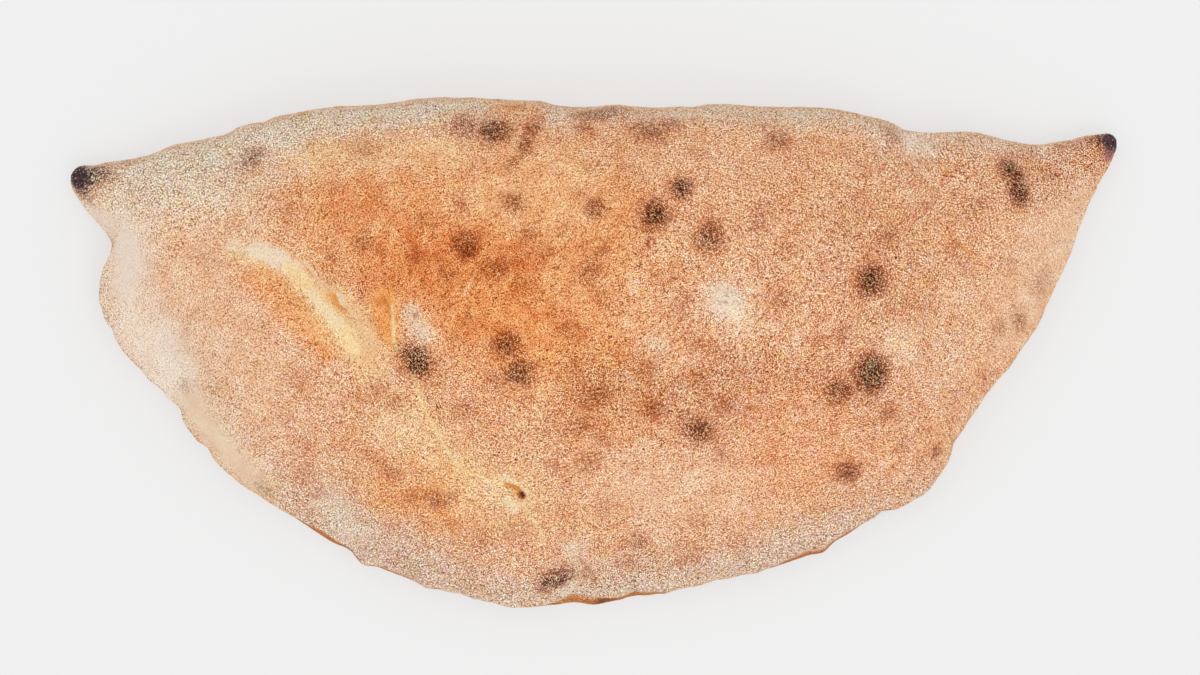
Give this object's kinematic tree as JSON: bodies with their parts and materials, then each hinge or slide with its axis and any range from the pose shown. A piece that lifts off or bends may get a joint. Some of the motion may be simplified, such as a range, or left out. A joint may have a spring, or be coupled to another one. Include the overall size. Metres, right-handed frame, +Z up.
{
  "type": "calzone",
  "caption": "Baked ham calzone: a puffed half-moon of folded dough with pinched horns, a sealed rim and a flat underside, lying uncut.",
  "frame": {"origin": "middle of the bounding box, on the flat underside", "axes": "+X along the fold from the left horn to the right horn, +Y from the sealed rim to the fold, +Z up"},
  "size_m": [0.32, 0.1558, 0.047],
  "materials": {
    "baked_crust": "matte floured crust, golden to orange brown with char spots, pale at the folds"
  },
  "bodies": {
    "root": {"calzone": "baked_crust"}
  },
  "joints": []
}
